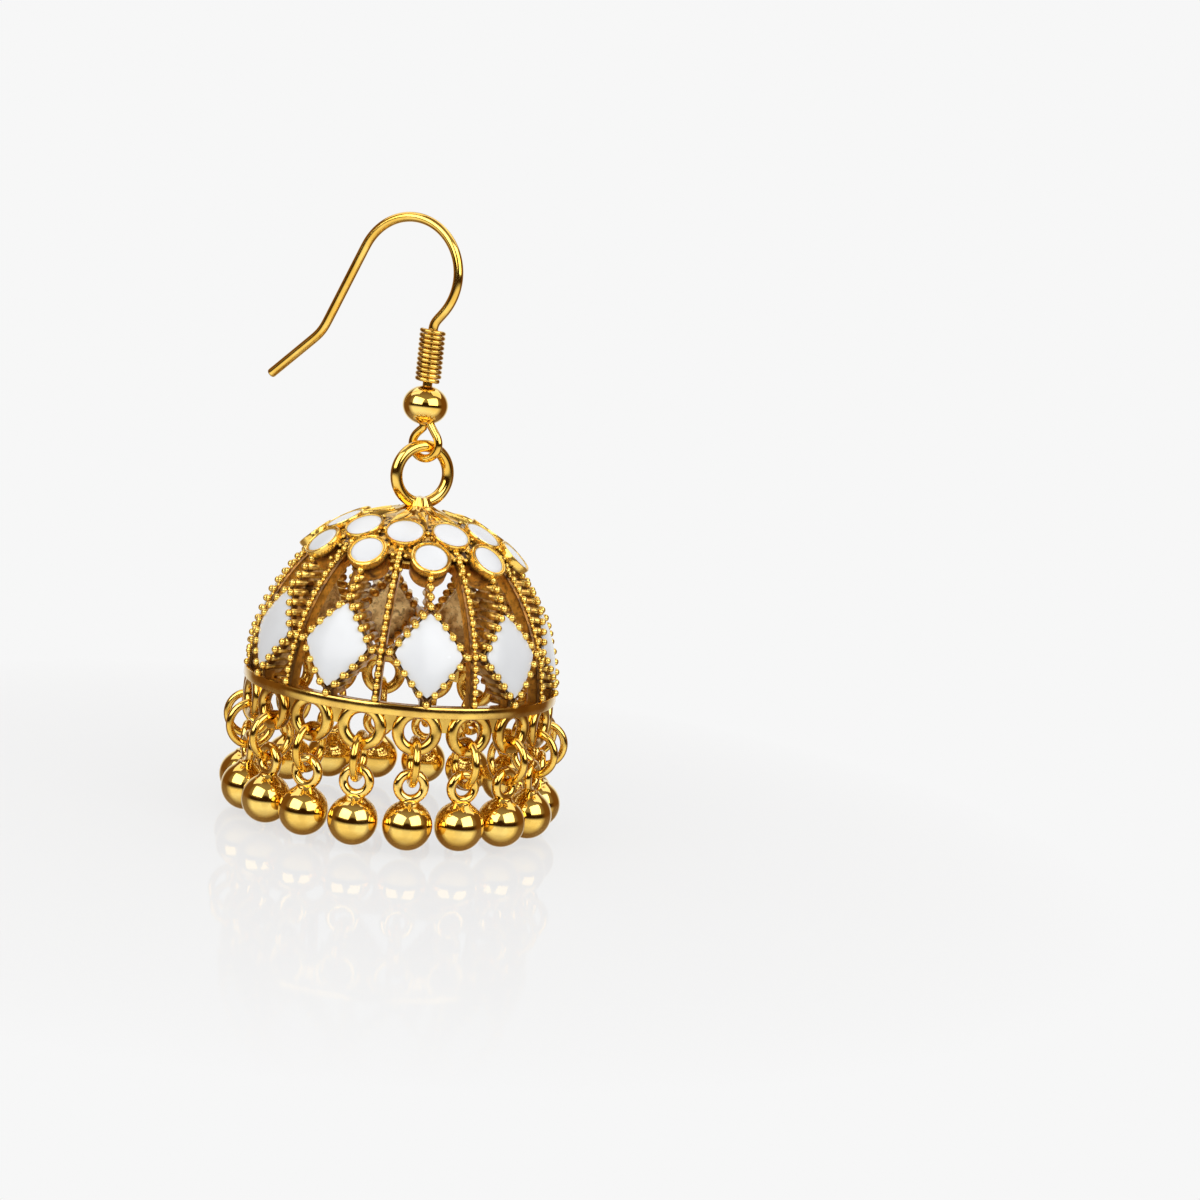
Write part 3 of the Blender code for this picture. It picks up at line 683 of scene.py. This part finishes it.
pits = spot.noise(2100.0)
outside = centred.vector("MULTIPLY", TO_UNIT_DOME).length().rise(0.96, 0.98)
reach = centred.vector("MULTIPLY", (1.0, 1.0, 0.0)).length()
crust = (reach + haze * 0.8 * MM).rise(*CRUST_REACH) * centred.height().rise(*CRUST_HEIGHT) * outside
tone = haze.rise(0.35, 0.65).mix((0.60, 0.36, 0.08), RUBBED)
tone = (crust * pits.rise(0.46, 0.53)).mix(tone, (0.05, 0.02, 0.004))
feed(shader, Base_Color=tone, Roughness=haze * 0.1 + crust * 0.15 + 0.08,
     Normal=(fine * 0.06 - crust * pits).bump(0.8, 0.2 * MM))
band_and_cap = place("bell_band_and_cap", shaped("bell_band_and_cap", bm), band_gold)
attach(band_and_cap, "bell_drop")

# Granules. Small round grains stand along every rib, with finer ones between them. The grains of a
# lozenge's border and stalk are the round ends of level rods of gold, stacked like a stair, whose sides
# show in the walls of the windows. All are cast with the bell.
ROD_PITCH = 1.07 * MM
ROD_SIZES = {"Head": 0.34 * MM, "Pin": 0.34 * MM, "Length": 2.5 * MM, "Seat": 0.24 * MM}
STALK_GRAINS_TOP = 11.3 * MM
RIB_PITCH = 0.97 * MM
RIB_GRAIN_SIZES = {"Head": 0.33 * MM, "Pin": 0.2 * MM, "Length": 0.5 * MM, "Seat": 0.17 * MM}
SPACER_SIZES = {"Head": 0.2 * MM, "Pin": 0.15 * MM, "Length": 0.4 * MM, "Seat": 0.06 * MM}

grow, size = pattern("grains", ROD_SIZES)
head = grow.node("GeometryNodeMeshUVSphere", {}, {"Segments": 8, "Rings": 6, "Radius": size["Head"]})
lifted = grow.node("ShaderNodeCombineXYZ", {}, {"Z": size["Seat"]})
head = grow.node("GeometryNodeTransform", {}, {"Geometry": head, "Translation": lifted})
rod = grow.node("GeometryNodeMeshCylinder", {}, {
    "Vertices": 8, "Radius": size["Pin"], "Depth": size["Length"]})
sunk = grow.node("ShaderNodeCombineXYZ", {}, {"Z": size["Length"] * -0.5})
rod = grow.node("GeometryNodeTransform", {}, {"Geometry": rod, "Translation": sunk})
both = grow.node("GeometryNodeJoinGeometry", {}, {0: head})
grow.tree.links.new(rod.socket, both.socket.node.inputs[0])
pin = grow.node("GeometryNodeSetShadeSmooth", {}, {"Geometry": both})
lean = grow.node("GeometryNodeInputNamedAttribute", {"data_type": "FLOAT_VECTOR"}, {"Name": "lean"})
facing = grow.node("FunctionNodeAlignRotationToVector", {"axis": "Z"}, {"Vector": lean})
set_out = grow.node("GeometryNodeInstanceOnPoints", {}, {
    "Points": size["Geometry"], "Instance": pin, "Rotation": facing})
grains = close(grow, set_out, size["Finish"])


def grain_points(name, places, level=0.0):
    """Points on the dome, which face out of it, or straight outwards where level is 1."""
    mesh = bpy.data.meshes.new(name)
    mesh.from_pydata([tuple(point) for point in places], [], [])
    lean = mesh.attributes.new("lean", "FLOAT_VECTOR", "POINT")
    for item, point in zip(lean.data, places):
        item.vector = off_dome(point).lerp(Vector((point.x, point.y, 0.0)).normalized(), level)
    return mesh


border_places = []
for side in (-1, 1):
    lower = even(line_on_dome((0.0, LOZENGE_FOOT), (side * corner, LOZENGE_MIDDLE), 40), ROD_PITCH)
    upper = even(line_on_dome((side * corner, LOZENGE_MIDDLE), (0.0, LOZENGE_TOP), 40), ROD_PITCH)
    border_places += lower[1:] + upper[1:-1]
border_places.append(on_dome(0.0, LOZENGE_FOOT))
border_places += even(line_on_dome((0.0, LOZENGE_TOP), (0.0, STALK_GRAINS_TOP), 20), ROD_PITCH)
# The dark stop at 0.7 paints a band on the rods just under the outer surface: partly patina, partly painted
# shade between the stacked rods.
bell_grain = bell_gold("granules", [(0.0, ORANGE_WALL), (0.2, RUBBED), (0.6, RUBBED),
                                    (0.7, (0.5, 0.28, 0.06)), (0.8, RUBBED)], -0.012, 0.85)
fence = grown("border_granules", grain_points("border_points", border_places, 1.0), bell_grain,
              (grains, ROD_SIZES), (ring_of_copies, ring_sizes))

rib_middle = (0.0, LOZENGE_MIDDLE)
rib_foot = (0.0, BAND_HEIGHT + 0.3 * MM)
rib_end = (0.0, RIB_TOP - 0.2 * MM)
low_rib = even(line_on_dome(rib_foot, rib_middle, 40, HALF_PANEL), RIB_PITCH)
high_rib = even(line_on_dome(rib_middle, rib_end, 60, HALF_PANEL), RIB_PITCH)
ribs = grown("rib_granules", grain_points("rib_points", low_rib + high_rib[1:]), bell_grain,
             (grains, RIB_GRAIN_SIZES), (ring_of_copies, ring_sizes))

spacer_places = []
for run in (low_rib, high_rib):
    spacer_places += [(one + other) / 2 for one, other in zip(run, run[1:])]
spacers = grown("rib_spacers", grain_points("spacer_points", spacer_places), bell_grain,
                (grains, SPACER_SIZES), (ring_of_copies, ring_sizes))
for piece in (fence, ribs, spacers):
    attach(piece, "bell_drop")

# Settings. Ten tall cups stand round the edge of the cap, each over a lozenge, and ten low discs inside
# them, over the ribs. They are cast with the bell, each with a grooved bezel round its sunk floor.
CUP_CIRCLE = 8.5 * MM
CUP_RADIUS = 1.77 * MM
CUP_RISE = 0.9 * MM
CUP_DEPTH = 1.5 * MM
DISC_CIRCLE = 6.15 * MM
DISC_RADIUS = 1.75 * MM
DISC_RISE = 0.8 * MM
DISC_DEPTH = 0.8 * MM
CUP_BEZEL = 0.36 * MM
DISC_BEZEL = 0.18 * MM
SETTING_SIDES = 40


def setting_seat(circle, turn):
    """The place of a round setting that stands square on the dome."""
    height = DOME_HEIGHT * math.sqrt(1.0 - (circle / DOME_RADIUS) ** 2)
    point = Vector((circle * math.cos(turn), circle * math.sin(turn), height))
    return Matrix.Translation(point) @ off_dome(point).to_track_quat("Z", "X").to_matrix().to_4x4()


def setting(bm, seat, radius, rise, depth, bezel):
    """A round setting: a wall that tapers downwards, and a grooved bezel round a sunk floor."""
    inside = radius - bezel
    wall = [(0.0, -depth), (radius * 0.84, -depth), (radius * 0.9, -depth * 0.85),
            (radius * 0.95, -depth * 0.2), (radius, rise - 0.2 * MM)]
    rim = [(radius - bezel * 0.1, rise - 0.05 * MM), (radius - bezel * 0.3, rise),
           (radius - bezel * 0.5, rise - 0.02 * MM), (radius - bezel * 0.62, rise - 0.14 * MM),
           (radius - bezel * 0.74, rise - 0.03 * MM), (inside, rise - 0.04 * MM)]
    sunk_floor = [(inside, rise - 0.35 * MM), (0.0, rise - 0.35 * MM)]
    turned(bm, wall + rim + sunk_floor, SETTING_SIDES, seat)


bm = bmesh.new()
setting(bm, setting_seat(CUP_CIRCLE, 0.0), CUP_RADIUS, CUP_RISE, CUP_DEPTH, CUP_BEZEL)
setting(bm, setting_seat(DISC_CIRCLE, HALF_PANEL), DISC_RADIUS, DISC_RISE, DISC_DEPTH, DISC_BEZEL)
# The dark stops paint a band where the settings meet the cap: partly patina, partly painted shade.
setting_metal = bell_gold("bezels", [(0.0, ORANGE_WALL), (0.55, ORANGE_WALL), (0.72, PATINA_AND_SHADE),
                                     (0.81, PATINA_AND_SHADE), (0.9, RUBBED)], 0.004)
settings_piece = grown("round_settings", shaped("round_setting_pair", bm), setting_metal,
                       (ring_of_copies, ring_sizes))
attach(settings_piece, "bell_drop")

# Enamel. White vitreous enamel, poured into the lozenges and the round settings and fired, so that it
# stands a little bowed and glossy, with faint ripples and a stray dark speck.
ENAMEL_MARGIN = 0.86
ENAMEL_BACK = -0.1 * MM
ENAMEL_FACE = 0.16 * MM
ENAMEL_BOW = 0.14 * MM
ENAMEL_FULLNESS = 1.18
COOL_WHITES = ((0.48, 0.488, 0.50), (0.52, 0.528, 0.54))
SPECK = (0.25, 0.2, 0.14)


def enamel_fill(bm, seat, inside, rise):
    """The enamel in a round setting, poured to a low dome."""
    face = [(0.0, rise + 0.03 * MM), (inside * 0.5, rise + 0.015 * MM), (inside * 0.8, rise - 0.02 * MM),
            (inside * 0.95, rise - 0.06 * MM), (inside * 0.995, rise - 0.12 * MM)]
    back = [(inside * 0.995, rise - 0.3 * MM), (0.0, rise - 0.3 * MM)]
    turned(bm, face + back, SETTING_SIDES, seat)


enamel_white, grow, shader = material("fired_enamel", Coat_Weight=0.15, Coat_Roughness=0.1,
                                      Specular_IOR_Level=0.4)
spot = grow.spot()
ripple = spot.noise(260.0)
fleck = grow.node("ShaderNodeTexVoronoi", {}, {"Vector": spot, "Scale": 330.0})
speck = (1 - fleck.rise(0.02, 0.06)) * spot.noise(90.0).rise(0.62, 0.66)
white = (speck * 0.7).mix(ripple.rise(0.3, 0.7).mix(*COOL_WHITES), SPECK)
feed(shader, Base_Color=white, Roughness=ripple * 0.1 + 0.2, Normal=ripple.bump(0.1, 0.2 * MM))

bm = bmesh.new()
lozenge(bm, ENAMEL_MARGIN, ENAMEL_BACK, ENAMEL_FACE, ENAMEL_BOW, 24, ENAMEL_FULLNESS)
lozenges = grown("enamel_lozenges", shaped("lozenge_fill", bm), enamel_white, (ring_of_copies, ring_sizes))
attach(lozenges, "bell_drop")
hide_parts(*[f"enamel_diamond_{i + 1:02d}" for i in range(PANELS)])
bm = bmesh.new()
enamel_fill(bm, setting_seat(CUP_CIRCLE, 0.0), CUP_RADIUS - CUP_BEZEL, CUP_RISE)
enamel_fill(bm, setting_seat(DISC_CIRCLE, HALF_PANEL), DISC_RADIUS - DISC_BEZEL, DISC_RISE)
rounds = grown("enamel_rounds", shaped("round_fill", bm), enamel_white, (ring_of_copies, ring_sizes))
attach(rounds, "bell_drop")

# Cap trim. A pointed arm runs out from the foot between each two discs, and small grains fill the pockets
# that the discs and cups leave between them. Arms and grains are cast with the cap.
ARM_START = 2.4 * MM
ARM_END = 5.5 * MM
ARM_STEPS = 7
ARM_SECTION = ((-0.62 * MM, -0.1 * MM), (-0.4 * MM, 0.14 * MM), (0.0, 0.3 * MM),
               (0.4 * MM, 0.14 * MM), (0.62 * MM, -0.1 * MM))
TRIM_GRAIN = 0.24 * MM
TRIM_PROUD = 0.08 * MM
# Each grain's reach in mm, its turn from the middle of a lozenge, and its share of the full radius.
POCKET_GRAINS = ((5.95, 0, 1.0), (6.45, -3.2, 0.8), (6.45, 3.2, 0.8), (8.35, 18, 1.0), (7.7, 9.2, 0.9),
                 (7.7, 26.8, 0.9), (8.5, 14.2, 0.75), (8.5, 21.8, 0.75), (9.05, 18, 1.0),
                 (9.6, 15.5, 0.8), (9.6, 20.5, 0.8), (4.15, 18, 0.8))


def on_cap(reach, turn, proud=0.0):
    """A point on the cap's outer face, at a reach from its axis."""
    height = cap_top * math.sqrt(1 - (reach / (DOME_RADIUS + CAP_RAISE)) ** 2)
    point = Vector((reach * math.cos(turn), reach * math.sin(turn), height))
    return point + off_dome(point) * proud


bm = bmesh.new()
arm = []
for i in range(ARM_STEPS + 1):
    point = on_cap(ARM_START + (ARM_END - ARM_START) * i / ARM_STEPS, 0.0)
    arm.append((point, Vector((0.0, 1.0 - 0.8 * i / ARM_STEPS, 0.0)), off_dome(point)))
sweep(bm, arm, ARM_SECTION)
for reach, turn, share in POCKET_GRAINS:
    pocket = Matrix.Translation(on_cap(reach * MM, math.radians(turn), TRIM_PROUD))
    bmesh.ops.create_icosphere(bm, subdivisions=2, radius=TRIM_GRAIN * share, matrix=pocket)
trim = grown("cap_star_and_grains", shaped("cap_trim", bm), setting_metal, (ring_of_copies, ring_sizes))
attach(trim, "bell_drop")

# Bail. A thick round ring soldered on a flared foot, which spreads over the middle of the cap as a ten
# lobed star between the discs. Both are polished as bright as the ear wire.
BAIL_CENTRE = Vector((3.4, 0, -22.005)) * MM
BAIL_RADIUS = 2.55 * MM
BAIL_WIRE = 0.55 * MM
FOOT_HEIGHT = 0.95 * MM
FOOT_SINK = -0.5 * MM
FOOT_PROFILE = ((0.0, FOOT_HEIGHT + 0.25 * MM), (0.8 * MM, FOOT_HEIGHT + 0.15 * MM),
                (1.0 * MM, FOOT_HEIGHT * 0.8), (1.15 * MM, FOOT_HEIGHT * 0.45), (1.6 * MM, 0.24 * MM),
                (2.4 * MM, 0.14 * MM), (3.4 * MM, 0.0), (3.5 * MM, FOOT_SINK), (0.0, FOOT_SINK))
LOBE_SHARE = 0.22
FULL_LOBE_REACH = 3 * MM


def ring_profile(radius, wire, steps=20):
    """The section of a round link, to be turned."""
    turns = [2 * math.pi * k / steps for k in range(steps)]
    return [(radius + wire * math.cos(turn), wire * math.sin(turn)) for turn in turns]


bm = bmesh.new()
bail_place = Matrix.Translation(BAIL_CENTRE) @ Matrix.Rotation(BELL_TURN, 4, "Z")
upright = bail_place @ Matrix.Rotation(math.pi / 2, 4, "X")
turned(bm, ring_profile(BAIL_RADIUS, BAIL_WIRE), 72, upright, True)
ring_vertices = len(bm.verts)
turned(bm, FOOT_PROFILE, 80, bell_place @ Matrix.Translation((0.0, 0.0, cap_top)))
for vertex in list(bm.verts)[ring_vertices:]:
    point = bell_place.inverted() @ vertex.co
    reach = math.hypot(point.x, point.y)
    share = LOBE_SHARE * min(1.0, reach / FULL_LOBE_REACH)
    lobe = 1 + share * math.cos(PANELS * math.atan2(point.y, point.x))
    drop = cap_top - on_cap(reach * lobe, 0.0).z
    vertex.co = bell_place @ Vector((point.x * lobe, point.y * lobe, point.z - drop))
bail = place("bail_ring_and_foot", shaped("bail_ring_and_foot", bm), wire_gold)
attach(bail, "bell_drop")

# Eyelets. Eighteen flat cast rings stand side by side under the band, each bevelled round its hole, and
# a short web joins neighbours under the band.
DROPS = 18
EYELET_CIRCLE = 13.3 * MM
EYELET_HEIGHT = -1.25 * MM
EYELET_RADIUS = 2.13 * MM
HOLE_RADIUS = 1.08 * MM
EYELET_HALF = 0.52 * MM
EYELET_STEPS = 8
WEB_PLACE = Vector((EYELET_CIRCLE - 0.15 * MM, 0.0, -0.62 * MM))
WEB_SIZE = (0.6 * MM, 1.0 * MM, 1.3 * MM)

bm = bmesh.new()
facing_out = Matrix.Translation((EYELET_CIRCLE, 0.0, EYELET_HEIGHT)) @ Matrix.Rotation(math.pi / 2, 4, "Y")
middle = (HOLE_RADIUS + EYELET_RADIUS) / 2
front = []
for i in range(EYELET_STEPS):
    turn = math.pi * (i + 0.5) / EYELET_STEPS
    spread = math.copysign(abs(math.cos(turn)) ** 0.8, math.cos(turn))
    front.append((middle - (EYELET_RADIUS - middle) * spread, EYELET_HALF * math.sin(turn) ** 0.8))
turned(bm, front + [(reach, -depth) for reach, depth in front[::-1]], 40, facing_out, True)
half_step = math.pi / DROPS
web_seat = Matrix.Rotation(half_step, 4, "Z") @ Matrix.Translation(WEB_PLACE)
bmesh.ops.create_cube(bm, size=1.0, matrix=web_seat @ Matrix.Diagonal((*WEB_SIZE, 1.0)))
eyelet_gold = gold("eyelet_gold", RUBBED, (0.6, 0.36, 0.06), 0.08, 1800.0, 0.05)
fringe_sizes = {**ring_sizes, "Copies": DROPS, "First turn": BELL_TURN + half_step}
eyelets = grown("eyelets", shaped("eyelet", bm), eyelet_gold, (ring_of_copies, fringe_sizes))
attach(eyelets, "bell_drop")

# Fringe. A round jump ring hangs in each eyelet, standing edge out, and carries a polished ball on a
# cast loop, with a small shoulder where the loop grows out of the ball.
JUMP_HEIGHT = -3.88 * MM
JUMP_RADIUS = 1.9 * MM
JUMP_WIRE = 0.35 * MM
LOOP_HEIGHT = -6.01 * MM
DROP_LOOP_RADIUS = 1.125 * MM
DROP_LOOP_WIRE = 0.42 * MM
BALL_HEIGHT = -9.41 * MM
BALL_RADIUS = 2.15 * MM
BALL_STEPS = 24
SHOULDER = ((0.0, BALL_RADIUS + 0.12 * MM), (0.5 * MM, BALL_RADIUS + 0.1 * MM),
            (0.78 * MM, BALL_RADIUS + 0.02 * MM), (0.9 * MM, BALL_RADIUS - 0.16 * MM))
SHOULDER_TURN = 64

bm = bmesh.new()
edge_out = Matrix.Translation((EYELET_CIRCLE, 0.0, JUMP_HEIGHT)) @ Matrix.Rotation(math.pi / 2, 4, "X")
turned(bm, ring_profile(JUMP_RADIUS, JUMP_WIRE, 14), 40, edge_out, True)
jump_rings = grown("jump_rings_bright", shaped("jump_ring", bm), wire_gold, (ring_of_copies, fringe_sizes))
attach(jump_rings, "bell_drop")
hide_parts(*[f"jump_ring_{i + 1:02d}" for i in range(DROPS)])

bm = bmesh.new()
loop_seat = Matrix.Translation((EYELET_CIRCLE, 0.0, LOOP_HEIGHT)) @ Matrix.Rotation(math.pi / 2, 4, "Y")
turned(bm, ring_profile(DROP_LOOP_RADIUS, DROP_LOOP_WIRE, 14), 32, loop_seat, True)
profile = list(SHOULDER)
for i in range(1, BALL_STEPS + 1):
    lift = math.radians(SHOULDER_TURN - (SHOULDER_TURN + 90) * i / BALL_STEPS)
    profile.append((BALL_RADIUS * math.cos(lift), BALL_RADIUS * math.sin(lift)))
profile[-1] = (0.0, -BALL_RADIUS)
turned(bm, profile, 40, Matrix.Translation((EYELET_CIRCLE, 0.0, BALL_HEIGHT)))
drops = grown("ball_drops_polished", shaped("ball_drop", bm), ball_gold, (ring_of_copies, fringe_sizes))
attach(drops, "bell_drop")
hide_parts(*[f"ball_drop_{i + 1:02d}" for i in range(DROPS)])
